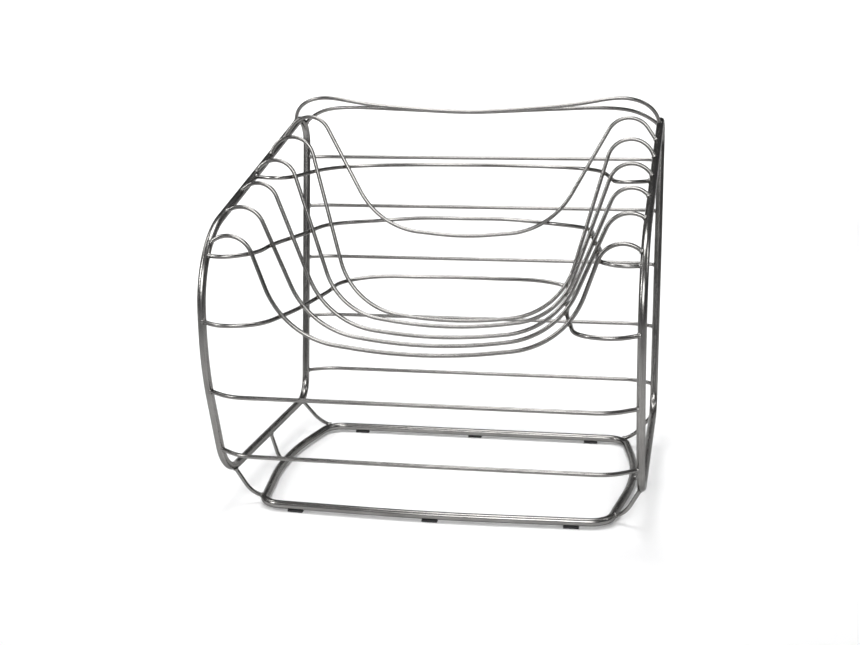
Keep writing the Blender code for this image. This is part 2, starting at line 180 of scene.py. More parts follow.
# Rails
FRONT_RAIL_Z = {"upper": 0.268, "lower": 0.140}
UPPER_FRONT_RAIL_INSET = 0.017  # behind the front of the lower hoop
LOWER_FRONT_RAIL_REACH = 0.041
LOWER_FRONT_RAIL_BOW = 0.003
LOWER_FRONT_RAIL_BOW_R = 2.0
FRONT_RAIL_END = 0.052
FRONT_RAIL_R = 0.085
BACK_RAIL_Z = (0.138, 0.264, 0.399, 0.516, 0.626)
BACK_RAIL_LOW_REACH = 0.030
BACK_RAIL_END = 0.040
BACK_RAIL_R = 0.100
TOP_RAIL_FORWARD = 0.092        # feet of the top rail in front of the crest's corners
TOP_RAIL = ((0.978, -0.015, 0.0255), (0.925, -0.030, 0.0470), (0.825, -0.040, 0.0593),
            (0.645, -0.044, 0.0520), (0.300, -0.038, 0.0365), (0.0, -0.036, 0.0305))
TOP_BRACE = ((0.938, 0.047, 0.0110), (0.862, 0.032, 0.0260), (0.750, 0.018, 0.0340),
             (0.500, -0.005, 0.0345), (0.300, -0.022, 0.0325))
TOP_BRACE_DROP = 0.0086
TOP_BRACE_SIDE = (0.0, 0.974, -0.227)   # direction from the top rail to the brace at their middles

# Struts between the bottom bars and the base ring
STRUT_TOP = {"front": 0.047, "middle": 0.005, "rear": -0.035}   # behind toe, middle and heel
STRUT_SPLAY = {"front": 0.025, "middle": 0.0, "rear": 0.020}
STRUT_ELBOW = (0.40, 0.11)
STRUT_R = 0.090

# Glides
GLIDE_SIZE = (0.030, 0.012, 0.005)
GLIDE_GRID = (24, 12)           # faces along and across one
GLIDE_EDGE = 0.0009             # width of its soft edges
SADDLE_GRIP = 0.0001            # how far its saddle reaches into the tube's face
GROOVE_DEPTH = 0.0005
GROOVE_WIDTH = 0.0009
GROOVE_X = 0.005                # from the middle of the sole to a groove

# Stage
FLOOR_SIDE_X = 9.0
FLOOR_FRONT_Y = -5.0
BACKDROP_Y = 3.4                # where the floor starts to bend up
BACKDROP_BEND = 1.0
BACKDROP_TOP = 1.3
BEND_ANGLES = np.linspace(0.05, math.pi / 2, 24)
SENSOR_WIDTH = 36.0


class WireChairSizes(bpy.types.PropertyGroup):
    """Main sizes of the chair."""

    side_x: FloatProperty(
        name="Side frame offset", description="From the middle of the chair to the centre of a side frame",
        default=SIDE_X, min=0.2, max=0.8, unit="LENGTH")
    depth: FloatProperty(
        name="Depth", description="Over the front of the lower hoop and the top back rail",
        default=DEPTH, min=0.4, max=1.4, unit="LENGTH")
    tube_diameter: FloatProperty(
        name="Tube diameter", description="Outside diameter of the side frames and the base ring",
        default=TUBE_D, min=0.008, max=0.04, unit="LENGTH")
    rod_diameter: FloatProperty(
        name="Rod diameter", description="Diameter of the seat rods, hoops, rails and struts",
        default=ROD_D, min=0.004, max=0.02, unit="LENGTH")
    weld_size: FloatProperty(
        name="Weld fillet", description="How far a weld stands out round the end of a rod",
        default=0.0016, min=0.0, max=0.004, unit="LENGTH")
    rod_sides: IntProperty(
        name="Rod sides", description="Points round a rod", default=16, min=8, max=48)
    tube_sides: IntProperty(
        name="Tube sides", description="Points round a tube", default=32, min=12, max=64)


class WireChairFinish(bpy.types.PropertyGroup):
    """Colours of the chair's two finishes."""

    steel: FloatVectorProperty(
        name="Steel", description="Colour of the satin stainless steel", subtype="COLOR",
        default=(0.28, 0.274, 0.266), min=0.0, max=1.0)
    steel_deep: FloatVectorProperty(
        name="Steel, deep", description="Colour in the drawing lines and handling marks of the steel",
        subtype="COLOR", default=(0.16, 0.156, 0.150), min=0.0, max=1.0)
    heat_tint: FloatVectorProperty(
        name="Heat tint", description="Colour of the steel beside a weld", subtype="COLOR",
        default=(0.19, 0.172, 0.150), min=0.0, max=1.0)
    rubber: FloatVectorProperty(
        name="Rubber", description="Colour of the glides", subtype="COLOR",
        default=(0.012, 0.012, 0.013), min=0.0, max=1.0)


class WireChairStage(bpy.types.PropertyGroup):
    """Floor, lights and camera."""

    floor: FloatVectorProperty(
        name="Floor", description="Colour of the floor and the backdrop", subtype="COLOR",
        default=(0.93, 0.93, 0.93), min=0.0, max=1.0)
    surround: FloatVectorProperty(
        name="Surround", description="Light of the room behind the camera", subtype="COLOR",
        default=(0.16, 0.16, 0.163), min=0.0, max=1.0)
    light: FloatProperty(
        name="Light", description="Strength of all the lamps together", default=0.94, min=0.0, max=10.0)
    azimuth: FloatProperty(
        name="Azimuth", description="How far the camera stands round to the right of the chair's front",
        default=math.radians(11.421), subtype="ANGLE", unit="ROTATION")
    elevation: FloatProperty(
        name="Elevation", description="How far the camera looks down", default=math.radians(13.170),
        subtype="ANGLE", unit="ROTATION")
    roll: FloatProperty(
        name="Roll", description="Lean of the camera", default=math.radians(-0.806),
        subtype="ANGLE", unit="ROTATION")
    place: FloatVectorProperty(
        name="Camera place", description="Where the camera stands", default=(0.50296, -2.70190, 0.97907),
        subtype="XYZ", unit="LENGTH")
    lens: FloatProperty(
        name="Lens", description="Focal length in millimetres on a 36 mm sensor", default=58.23,
        min=20.0, max=200.0)


# Centrelines

def rounded(corners, radii):
    """The line through the corners, each one bent to its radius; a radius of 0 is an end."""
    corners = np.array(corners, float)
    spans = np.roll(corners, -1, axis=0) - corners
    lengths = np.linalg.norm(spans, axis=1)
    onwards = spans / lengths[:, None]
    backwards = -np.roll(onwards, 1, axis=0)
    turns = math.pi - np.arccos(np.clip((onwards * backwards).sum(axis=1), -1.0, 1.0))
    wanted = np.array(radii) * np.tan(turns / 2)
    free = np.minimum(lengths * BEND_ROOM, lengths - BEND_STRAIGHT)
    room = free / np.maximum(wanted + np.roll(wanted, -1), free)
    reaches = wanted * np.minimum(room, np.roll(room, 1))
    path = []
    for i, corner in enumerate(corners):
        if radii[i] == 0:
            path.append(corner)
            continue
        turn = turns[i]
        radius = reaches[i] / math.tan(turn / 2)
        bisector = (backwards[i] + onwards[i]) / np.linalg.norm(backwards[i] + onwards[i])
        centre = corner + bisector * radius / math.cos(turn / 2)
        start = corner + backwards[i] * reaches[i] - centre
        end = corner + onwards[i] * reaches[i] - centre
        steps = max(2, math.ceil(turn / BEND_STEP), math.ceil(turn * radius / BEND_SPAN))
        for k in range(steps + 1):
            share = k / steps
            spoke = math.sin((1 - share) * turn) * start + math.sin(share * turn) * end
            path.append(centre + spoke / math.sin(turn))
    return np.array(path)


def smooth(points):
    """A natural cubic spline through the points, with some segments between each two."""
    points = np.array(points, float)
    steps = np.linalg.norm(np.diff(points, axis=0), axis=1)
    count = len(points)
    system = np.eye(count)
    pull = np.zeros((count, 3))
    for i in range(1, count - 1):
        system[i, i - 1:i + 2] = (steps[i - 1], 2 * (steps[i - 1] + steps[i]), steps[i])
        pull[i] = 6 * ((points[i + 1] - points[i]) / steps[i] - (points[i] - points[i - 1]) / steps[i - 1])
    bend = np.linalg.solve(system, pull)
    path = []
    for i, step in enumerate(steps):
        for t in np.arange(CURVE_SHARE) / CURVE_SHARE * step:
            rest = step - t
            value = (bend[i] * rest ** 3 + bend[i + 1] * t ** 3) / (6 * step)
            value += (points[i] / step - bend[i] * step / 6) * rest
            value += (points[i + 1] / step - bend[i + 1] * step / 6) * t
            path.append(value)
    path.append(points[-1])
    return np.array(path)


def mirrored(half):
    """A whole rod from its right half, which runs from the side frame to the middle."""
    half = [np.array(point, float) for point in half]
    left = [point * (-1, 1, 1) for point in half if point[0] > 0]
    return half + left[::-1]


def crossings(path, axis, value):
    """Every place where a line passes a coordinate."""
    found = []
    for start, end in zip(path[:-1], path[1:]):
        if (start[axis] - value) * (end[axis] - value) <= 0 and start[axis] != end[axis]:
            found.append(start + (end - start) * (value - start[axis]) / (end[axis] - start[axis]))
    return found


def looped(line):
    """A closed line with its first point repeated at the end."""
    return np.vstack((line, line[:1]))


class ChairLines:
    """Centreline of every bar, worked out from the chair's main sizes."""

    def __init__(self, sizes):
        self.side_x = sizes.side_x
        self.depth = sizes.depth
        self.rod = sizes.rod_diameter
        self.front_y = -sizes.depth / 2 + FRONT_INSET
        self.crest_y = sizes.depth / 2 + CREST_OVERHANG
        self.toe_y = self.front_y + TOE_BACK
        self.heel_y = self.crest_y - HEEL_FORWARD
        self.middle_y = (self.toe_y + self.heel_y) / 2
        self.first_rod_y = self.front_y + FIRST_ROD_BACK
        self.top_rail_y = self.crest_y - TOP_RAIL_FORWARD
        self.rod_pitch = (self.top_rail_y - LAST_ROD_GAP - self.first_rod_y) / (ROD_COUNT - 1)
        self.side = looped(self.side_loop())
        self.ring = looped(self.ring_loop())
        self.rods = self.all_rods()

    def side_loop(self):
        """The right side frame, from the toe round the front, over the arm to the heel."""
        crest_z = ARM_FRONT_Z + (self.crest_y - self.front_y) * math.tan(ARM_SLOPE)
        corners = (
            (self.side_x, self.toe_y, BAR_Z),
            (self.side_x, self.front_y, KNEE_Z),
            (self.side_x, self.front_y, ARM_FRONT_Z),
            (self.side_x, self.crest_y, crest_z),
            (self.side_x, self.heel_y, BAR_Z),
        )
        return rounded(corners, (TOE_R, KNEE_R, ARM_R, CREST_R, HEEL_R))

    def ring_loop(self):
        """The base ring: bowed front edge, straight rear edge and swelling sides."""
        front_y = self.toe_y + RING_FRONT_BACK
        right = (
            (RING_CORNER_X, self.heel_y - RING_REAR_FORWARD, RING_Z),
            (RING_BELLY_X, self.middle_y + RING_BELLY_BACK, RING_Z),
            (RING_CORNER_X, front_y, RING_Z),
        )
        radii = (RING_CORNER_R, RING_BELLY_R, RING_CORNER_R)
        left = [(-x, y, z) for x, y, z in reversed(right)]
        corners = (*right, (0.0, front_y - RING_BOW_Y, RING_Z), *left)
        return rounded(corners, (*radii, RING_BOW_R, *radii[::-1]))

    def on_side(self, axis, value, pick):
        """The place where the right side frame passes a coordinate; pick chooses among them."""
        return pick(crossings(self.side, axis, value), key=lambda place: place[3 - axis])

    def seat_rod(self, i):
        """A rod of the seat or the back: from the right arm bar over its arch, down and across."""
        station = self.first_rod_y + self.rod_pitch * i
        foot = self.on_side(1, station, max)
        floor_y = self.first_rod_y + FLOOR_BACK + (self.rod_pitch - FLOOR_FAN) * i
        if i == ROD_COUNT - 1:
            floor_y = station - BACK_ROD_LEAN
        floor_z = SEAT_Z - ROD_FLOOR_DROP[i]
        lean = (foot[1] - floor_y) / (foot[2] - floor_z)

        def in_plane(x, z):
            return (x, floor_y + lean * (z - floor_z), z)

        right = (
            tuple(foot),
            in_plane(self.side_x - ROD_TOP_INSET[i], foot[2] + ROD_ARCH_RISE[i]),
            in_plane(self.side_x - ROD_FLOOR_INSET[i], floor_z + ROD_FLOOR_SWELL[i]),
            in_plane(0.0, floor_z),
        )
        radii = (0, ROD_ARCH_R, ROD_FLOOR_R[i])
        return rounded(mirrored(right), (*radii, ROD_MIDDLE_R[i], *reversed(radii)))

    def wall_crossing(self, path, level):
        """Where the right wall of a seat rod passes a height, and its direction upwards there."""
        half = path[:len(path) // 2 + 1]
        wall = half[np.argmax(half[:, 2]):]
        place = crossings(wall, 2, level)[0]
        after = next(i for i, point in enumerate(wall) if point[2] <= level)
        return place, (wall[after - 1] - wall[after]) / np.linalg.norm(wall[after - 1] - wall[after])

    def hoop(self, shape, rods):
        """A hoop of the shell: welded to the side frames and to the outside of every rod it passes."""
        if shape["foot_z"] is None:
            start = self.on_side(1, self.front_y + UPPER_HOOP_BACK, max)
        else:
            start = self.on_side(2, shape["foot_z"], min)
        levels = np.linspace(shape["front_z"], shape["rear_z"], len(shape["rods"]))
        walls = [self.wall_crossing(rods[i], level) for i, level in zip(shape["rods"], levels)]
        last = walls[-1][0]
        rear = [last * (share, 1.0, 1.0) + (0.0, behind, 0.0) for share, behind in shape["rear"]]
        rear.append(last * (0.0, 1.0, 1.0) + (0.0, shape["middle"], 0.0))
        outline = np.array([place for place, _ in walls] + [rear[0]])
        steps = np.diff(outline, axis=0)
        steps /= np.linalg.norm(steps, axis=1)[:, None]
        half = [start]
        half += [start + (x, y, 0.0) for x, y in shape["corner"]]
        for i, (place, upwards) in enumerate(walls):
            along = steps[i] + steps[max(i - 1, 0)]
            outwards = np.cross(along * (1, 1, 0), upwards)
            half.append(place + outwards / np.linalg.norm(outwards) * (self.rod + HOOP_GAP))
        return smooth(mirrored(half + rear))

    def rail(self, foot, y, bow=0.0):
        """A rail between the side frames, with ends bent to reach their feet."""
        front = y < foot[1]
        radius = FRONT_RAIL_R if front else BACK_RAIL_R
        half = [foot, (self.side_x - (FRONT_RAIL_END if front else BACK_RAIL_END), y, foot[2])]
        if not bow:
            return rounded(mirrored(half), (0, radius, radius, 0))
        half.append((0.0, y - bow, foot[2]))
        return rounded(mirrored(half), (0, radius, LOWER_FRONT_RAIL_BOW_R, radius, 0))

    def top_rails(self):
        """The top rail, rising to an ear beside each arm, and the brace welded along its back."""
        foot = self.on_side(1, self.top_rail_y, max)
        low = self.on_side(2, foot[2] - TOP_BRACE_DROP, max)
        rail_half = [foot] + [(x * self.side_x, foot[1] + y, foot[2] + z) for x, y, z in TOP_RAIL]
        brace_half = [low] + [(x * self.side_x, foot[1] + y, foot[2] + z) for x, y, z in TOP_BRACE]
        brace_half.append(rail_half[-1] + np.array(TOP_BRACE_SIDE) * self.rod)
        return {"top_rail": smooth(mirrored(rail_half)), "top_brace": smooth(mirrored(brace_half))}

    def strut(self, place):
        """A bent rod from the right bottom bar down and in to the base ring."""
        near = {"front": self.toe_y, "middle": self.middle_y, "rear": self.heel_y}[place]
        top_y = near + STRUT_TOP[place]
        top = self.on_side(1, top_y, min)
        foot = max(crossings(self.ring, 1, top_y + STRUT_SPLAY[place]), key=lambda spot: spot[0])
        elbow = foot + (top - foot) * (STRUT_ELBOW[0], 0.5, STRUT_ELBOW[1])
        return rounded((top, elbow, foot), (0, STRUT_R, 0))

    def all_rods(self):
        """Every rod of the chair by the name of its CAD node."""
        rods = [self.seat_rod(i) for i in range(ROD_COUNT)]
        lines = {f"seat_rod_{i + 1}": line for i, line in enumerate(rods[:-1])}
        lines["back_rod"] = rods[-1]
        for name, shape in HOOPS.items():
            lines[name] = self.hoop(shape, rods)
        lines.update(self.top_rails())
        upper_y = -self.depth / 2 + UPPER_FRONT_RAIL_INSET
        lines["front_rail_upper"] = self.rail(self.on_side(2, FRONT_RAIL_Z["upper"], min), upper_y)
        foot = self.on_side(2, FRONT_RAIL_Z["lower"], min)
        lines["front_rail_lower"] = self.rail(foot, foot[1] - LOWER_FRONT_RAIL_REACH, LOWER_FRONT_RAIL_BOW)
        top_reach = self.depth / 2 - self.rod / 2 - self.on_side(2, BACK_RAIL_Z[-1], max)[1]
        reaches = np.linspace(BACK_RAIL_LOW_REACH, top_reach, len(BACK_RAIL_Z))
        for i, (z, reach) in enumerate(zip(BACK_RAIL_Z, reaches), start=1):
            foot = self.on_side(2, z, max)
            lines[f"back_rail_{i}"] = self.rail(foot, foot[1] + reach)
        for place in STRUT_SPLAY:
            right = self.strut(place)
            lines[f"strut_{place}_right"] = right
            lines[f"strut_{place}_left"] = right * (-1, 1, 1)
        return lines


# Drawing bars

def placed(name, data):
    """A new object in the scene."""
    thing = bpy.data.objects.new(name, data)
    bpy.context.collection.objects.link(thing)
    return thing


def smooth_mesh(name, shape):
    """The finished mesh of a shape that was being edited, with smooth shading."""
    mesh = bpy.data.meshes.new(name)
    shape.to_mesh(mesh)
    shape.free()
    mesh.shade_smooth()
    return mesh


def run_lengths(line):
    """Distance of each point of a line from its start."""
    return np.concatenate(([0.0], np.cumsum(np.linalg.norm(np.diff(line, axis=0), axis=1))))


def walked(line, stations):
    """Points of a line at the given distances from its start."""
    lengths = run_lengths(line)
    return np.column_stack([np.interp(stations, lengths, line[:, axis]) for axis in range(3)])


def line_length(line):
    """Length of a line from end to end."""
    return np.linalg.norm(np.diff(line, axis=0), axis=1).sum()


def away_from(points, lines):
    """Distance of each point from the nearest of some lines."""
    best = np.full(len(points), math.inf)
    for line in lines:
        starts, spans = line[:-1], np.diff(line, axis=0)
        squares = np.maximum((spans ** 2).sum(axis=1), 1e-15)
        share = ((points[:, None] - starts) * spans).sum(axis=2) / squares
        nearest = starts + np.clip(share, 0.0, 1.0)[..., None] * spans
        best = np.minimum(best, np.linalg.norm(points[:, None] - nearest, axis=2).min(axis=1))
    return best


def carried_frames(points, closed):
    """Two directions across a line at each point, carried along it without twisting."""
    if closed:
        along = np.roll(points, -1, axis=0) - np.roll(points, 1, axis=0)
    else:
        along = np.gradient(points, axis=0)
    along /= np.linalg.norm(along, axis=1)[:, None]
    across = np.cross(along[0], (0.0, 0.0, 1.0))
    if np.linalg.norm(across) < 0.2:
        across = np.cross(along[0], (1.0, 0.0, 0.0))
    sides = []
    for direction in along:
        across = across - direction * (across @ direction)
        across /= np.linalg.norm(across)
        sides.append(across)
    sides = np.array(sides)
    return sides, np.cross(along, sides)


def sweep(name, points, radii, count, closed, heat):
    """A round bar through the points; radii is one radius for each point and each side."""
    side, up = carried_frames(points, closed)
    angles = np.arange(count) / count * 2 * math.pi
    spokes = side[:, None] * np.cos(angles)[None, :, None] + up[:, None] * np.sin(angles)[None, :, None]
    rings = points[:, None] + spokes * radii[..., None]
    number = len(points)
    verts = rings.reshape(-1, 3)
    faces = []
    for i in range(number if closed else number - 1):
        here, ahead = i * count, (i + 1) % number * count
        for k in range(count):
            after = (k + 1) % count
            faces.append((here + k, here + after, ahead + after, ahead + k))
    if not closed:
        faces.append(tuple(range(count))[::-1])
        faces.append(tuple((number - 1) * count + k for k in range(count)))
    mesh = bpy.data.meshes.new(name)
    mesh.from_pydata(verts.tolist(), [], faces)
    mesh.shade_smooth()
    mesh.set_sharp_from_angle(angle=SHARP_ANGLE)
    grain = np.zeros((number, count, 3), np.float32)
    grain[..., 0] = np.cos(angles)
    grain[..., 1] = np.sin(angles)
    grain[..., 2] = run_lengths(points)[:, None]
    mesh.attributes.new("grain", "FLOAT_VECTOR", "POINT").data.foreach_set("vector", grain.ravel())
    warmth = np.repeat(heat.astype(np.float32), count)
    mesh.attributes.new("heat", "FLOAT", "POINT").data.foreach_set("value", warmth)
    return placed(name, mesh)


def lumps(points, count, seed):
    """Small unevenness of a weld, one value for each point and side, from -1 to 1."""
    values = np.zeros((len(points), count))
    for i, point in enumerate(points):
        for k in range(count):
            angle = k / count * 2 * math.pi
            turn = Vector((math.cos(angle) * LUMP_TURN + seed, math.sin(angle) * LUMP_TURN, 0.0))
            values[i, k] = noise.noise(turn + Vector(point) * LUMP_SCALE)
    return values


def weld_spots(lines, sizes):
    """Places where two rods touch and are welded: middle, direction between the bars and spread."""
    spots = []
    reach = sizes.rod_diameter + WELD_AIR
    names = [name for name in lines if name.startswith(("seat_rod", "back_rod"))]
    for hoop_name in HOOPS:
        hoop = lines[hoop_name]
        for name in names:
            rod = walked(lines[name], np.arange(0, line_length(lines[name]), WELD_SEARCH))
            for hand in (1, -1):
                near = rod[rod[:, 0] * hand > 0]
                gaps = np.linalg.norm(near[:, None] - hoop[None], axis=2)
                i, _ = np.unravel_index(np.argmin(gaps), gaps.shape)
                gap = away_from(near[i:i + 1], [hoop])[0]
                if gap > reach:
                    continue
                starts, spans = hoop[:-1], np.diff(hoop, axis=0)
                share = np.clip(((near[i] - starts) * spans).sum(axis=1) / (spans ** 2).sum(axis=1), 0, 1)
                feet = starts + share[:, None] * spans
                j = np.argmin(np.linalg.norm(near[i] - feet, axis=1))
                along_rod = near[min(i + 1, len(near) - 1)] - near[max(i - 1, 0)]
                spots.append(((near[i] + feet[j]) / 2, feet[j] - near[i], along_rod, spans[j]))
    rail = lines["top_rail"]
    brace = lines["top_brace"]
    for x in (-BRACE_WELD_X, 0.0, BRACE_WELD_X):
        upper = crossings(rail, 0, x)[0]
        lower = crossings(brace, 0, x)[0]
        spots.append(((upper + lower) / 2, lower - upper, np.array((1.0, 0, 0)), np.array((1.0, 0, 0))))
    return spots


def rod_piece(name, line, chair, spots, sizes):
    """One rod, trimmed where it meets the tubes and flared into a weld fillet there."""
    tubes = [chair.side, chair.side * (-1, 1, 1)]
    if name.startswith("strut"):
        tubes.append(chair.ring)
    total = line_length(line)
    rings = max(3, math.ceil((total - 2 * END_REACH) / ROD_STEP))
    coarse = np.linspace(END_REACH, total - END_REACH, rings)
    fine = np.arange(0.0, END_REACH, WELD_STEP)
    stations = np.concatenate((fine, coarse, (total - fine)[::-1]))
    points = walked(line, stations)
    gaps = away_from(points, tubes)
    tube_r = sizes.tube_diameter / 2
    kept = gaps > tube_r - WELD_BURY
    first = int(np.argmax(kept))
    last = len(kept) - int(np.argmax(kept[::-1]))
    points, gaps, stations = points[first:last], gaps[first:last], stations[first:last]
    near = np.minimum(stations - stations[0], stations[-1] - stations)
    rise = np.clip((gaps - tube_r) / WELD_REACH, 0.0, 1.0)
    rise[near > END_REACH] = 1.0
    flare = sizes.weld_size * (1.0 - rise) ** 2
    count = sizes.rod_sides
    radii = np.repeat(sizes.rod_diameter / 2 + flare[:, None], count, axis=1)
    welded = np.where(flare > 0)[0]
    if len(welded):
        seed = sum(map(ord, name)) % LUMP_SEEDS
        radii[welded] += lumps(points[welded], count, seed) * (flare[welded] * 0.35)[:, None]
    heat = np.clip(1.0 - (gaps - tube_r) / HEAT_REACH, 0.0, 1.0)
    heat[near > END_REACH] = 0.0
    if spots:
        places = np.array([spot[0] for spot in spots])
        nearest = np.linalg.norm(points[:, None] - places[None], axis=2).min(axis=1)
        heat = np.maximum(heat, np.clip(1.2 - nearest / HEAT_REACH, 0.0, 1.0))
    return sweep(name, points, radii, count, False, heat)


def tube_piece(name, loop, feet, seam, sizes):
    """A closed loop of tube with one ground butt weld; feet are the places where rods are welded on."""
    total = line_length(loop)
    seam_at = run_lengths(loop)[np.argmin(np.linalg.norm(loop - np.array(seam), axis=1))]
    stations = np.arange(0.0, total - TUBE_STEP / 2, total / math.ceil(total / TUBE_STEP))
    near_seam = seam_at + np.linspace(-SEAM_REACH, SEAM_REACH, SEAM_RINGS)
    stations = np.unique(np.round(np.concatenate((stations, np.mod(near_seam, total))), 6))
    stations = stations[np.concatenate(([True], np.diff(stations) > RING_GAP))]
    points = walked(loop, stations)
    count = sizes.tube_sides
    bead = SEAM_HEIGHT * np.exp(-((stations - seam_at) / SEAM_WIDTH) ** 2)
    radii = np.repeat(sizes.tube_diameter / 2 + bead[:, None], count, axis=1)
    swell = np.where(bead > 1e-5)[0]
    radii[swell] += lumps(points[swell], count, SEAM_SEED) * (bead[swell] * 0.5)[:, None]
    heat = np.clip(1.0 - np.abs(stations - seam_at) / (HEAT_REACH * 0.8), 0.0, 1.0)
    nearest = np.linalg.norm(points[:, None] - np.array(feet)[None], axis=2).min(axis=1)
    heat = np.maximum(heat, 0.8 * np.clip(1.0 - nearest / (HEAT_REACH * 1.2), 0.0, 1.0))
    return sweep(name, points, radii, count, True, heat)


def weld_bead(shape, spot, size, seed):
    """Add one lumpy bead to a mesh being edited, lying in the crotch of two crossing bars."""
    middle, between, one, other = (np.array(value, float) for value in spot)
    between /= np.linalg.norm(between)
    one /= np.linalg.norm(one)
    other /= np.linalg.norm(other)
    along = one + other if one @ other >= 0 else one - other
    along -= between * (along @ between)
    along /= np.linalg.norm(along)
    turn = Matrix(np.column_stack((along, np.cross(between, along), between)).tolist()).to_4x4()
    made = bmesh.ops.create_icosphere(shape, subdivisions=3, radius=1.0)["verts"]
    for vert in made:
        bump = 1.0 + 0.22 * noise.noise(vert.co * 1.7 + Vector((seed * 3.1, 0.0, 0.0)))
        vert.co = Vector((vert.co.x * size[0], vert.co.y * size[1], vert.co.z * size[2])) * bump
    bmesh.ops.transform(shape, matrix=Matrix.Translation(Vector(middle)) @ turn, verts=made)


# Finishes

def node_at(tree, kind, **inputs):
    """A new node with some of its inputs set by name."""
    node = tree.nodes.new(kind)
    for name, value in inputs.items():
        node.inputs[name.replace("_", " ")].default_value = value
    return node


def noise_of(tree, vector, scale, detail=3.0, roughness=0.5):
    """Factor of a noise texture over a vector."""
    texture = node_at(tree, "ShaderNodeTexNoise", Scale=scale, Detail=detail, Roughness=roughness)
    tree.links.new(vector, texture.inputs["Vector"])
    return texture.outputs["Fac"]


def ranged(tree, value, low, high, start=0.3, end=0.7):
    """A value moved from one range to another."""
    node = node_at(tree, "ShaderNodeMapRange", From_Min=start, From_Max=end, To_Min=low, To_Max=high)
    tree.links.new(value, node.inputs["Value"])
    return node.outputs["Result"]


def mixed(tree, share, first, second):
    """A colour between two others; each is a colour or the output of a node."""
    node = tree.nodes.new("ShaderNodeMix")
    node.data_type = "RGBA"
    tree.links.new(share, node.inputs["Factor"])
    for name, value in (("A", first), ("B", second)):
        socket = next(s for s in node.inputs if s.name == name and s.type == "RGBA")
        if isinstance(value, bpy.types.NodeSocket):
            tree.links.new(value, socket)
        else:
            socket.default_value = (*value, 1.0)
    return next(s for s in node.outputs if s.type == "RGBA")


def maths(tree, operation, *values):
    """Result of a maths node; each value is a number or the output of a node."""
    node = tree.nodes.new("ShaderNodeMath")
    node.operation = operation
    for socket, value in zip(node.inputs, values):
        if isinstance(value, bpy.types.NodeSocket):
            tree.links.new(value, socket)
        else:
            socket.default_value = value
    return node.outputs["Value"]


def bumped(tree, height, strength, distance):
    """Normal of a bump node over a height."""
    node = node_at(tree, "ShaderNodeBump", Strength=strength, Distance=distance)
    tree.links.new(height, node.inputs["Height"])
    return node.outputs["Normal"]


def attribute_of(tree, name, output):
    """Output of a node that reads a value stored in the mesh."""
    node = tree.nodes.new("ShaderNodeAttribute")
    node.attribute_name = name
    return node.outputs[output]


def blank_finish(name):
    """A new material, its node tree, its shader and the place on the object."""
    material = bpy.data.materials.new(name)
    material.use_nodes = True
    tree = material.node_tree
    place = tree.nodes.new("ShaderNodeTexCoord").outputs["Object"]
    return material, tree, tree.nodes["Principled BSDF"], place


def steel_finish(name, finish, welded=False):
    """Satin stainless bar: drawing lines along it, handling marks, and heat tint beside its welds."""
    found = bpy.data.materials.get(name)
    if found:
        return found
    material, tree, shader, place = blank_finish(name)
    shader.inputs["Metallic"].default_value = 1.0
    shader.inputs["Specular Tint"].default_value = (0.45, 0.45, 0.45, 1.0)
    stretch = tree.nodes.new("ShaderNodeVectorMath")
    stretch.operation = "MULTIPLY"
    stretch.inputs[1].default_value = (9.0, 9.0, 26.0)   # across, across and along the bar
    tree.links.new(attribute_of(tree, "grain", "Vector"), stretch.inputs[0])
    lines = noise_of(tree, stretch.outputs["Vector"], 1.0, 5.0, 0.65)
    specks = noise_of(tree, place, 900.0, 2.0, 0.5)
    if welded:
        colour = mixed(tree, ranged(tree, specks, 0.35, 0.9), finish.steel, finish.heat_tint)
        rough = ranged(tree, specks, 0.28, 0.42)
        strength, distance = 0.5, 0.0005
    else:
        marks = noise_of(tree, place, 9.0, 4.0, 0.55)
        warmth = attribute_of(tree, "heat", "Fac")
        tone = maths(tree, "MULTIPLY_ADD", lines, 0.6, maths(tree, "MULTIPLY", marks, 0.4))
        steel = mixed(tree, ranged(tree, tone, 0.0, 1.0, 0.36, 0.60), finish.steel_deep, finish.steel)
        edge = maths(tree, "ADD", warmth, ranged(tree, marks, -0.15, 0.15))
        colour = mixed(tree, ranged(tree, edge, 0.0, 0.8, 0.1, 0.9), steel, finish.heat_tint)
        rough = maths(tree, "ADD", ranged(tree, lines, 0.17, 0.26), ranged(tree, marks, 0.0, 0.06))
        rough = maths(tree, "ADD", rough, maths(tree, "MULTIPLY", warmth, 0.10))
        strength, distance = 0.10, 0.0002
    tree.links.new(colour, shader.inputs["Base Color"])
    tree.links.new(rough, shader.inputs["Roughness"])
    height = maths(tree, "ADD", maths(tree, "MULTIPLY", lines, 0.7), maths(tree, "MULTIPLY", specks, 0.3))
    tree.links.new(bumped(tree, height, strength, distance), shader.inputs["Normal"])
    return material


def rubber_finish(finish):
    """Moulded black rubber, scuffed paler where it rubs."""
    name = "glide_rubber"
    found = bpy.data.materials.get(name)
    if found:
        return found
    material, tree, shader, place = blank_finish(name)
    shader.inputs["Specular IOR Level"].default_value = 0.35
    pores = noise_of(tree, place, 1400.0, 3.0, 0.6)
    scuffs = noise_of(tree, place, 160.0, 4.0, 0.6)
    worn = tuple(channel + 0.022 for channel in finish.rubber)
    colour = mixed(tree, ranged(tree, scuffs, 0.0, 1.0, 0.45, 0.75), finish.rubber, worn)
    tree.links.new(colour, shader.inputs["Base Color"])
    tree.links.new(ranged(tree, scuffs, 0.55, 0.78), shader.inputs["Roughness"])
    tree.links.new(bumped(tree, pores, 0.25, 0.0002), shader.inputs["Normal"])
    return material


def settle(piece, material, slot, *nodes):
    """Give a piece its finish and its body, and hide the CAD nodes it stands for."""
    piece.data.materials.clear()
    piece.data.materials.append(material)
    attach(piece, BODY)
    if nodes:
        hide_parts(*nodes)


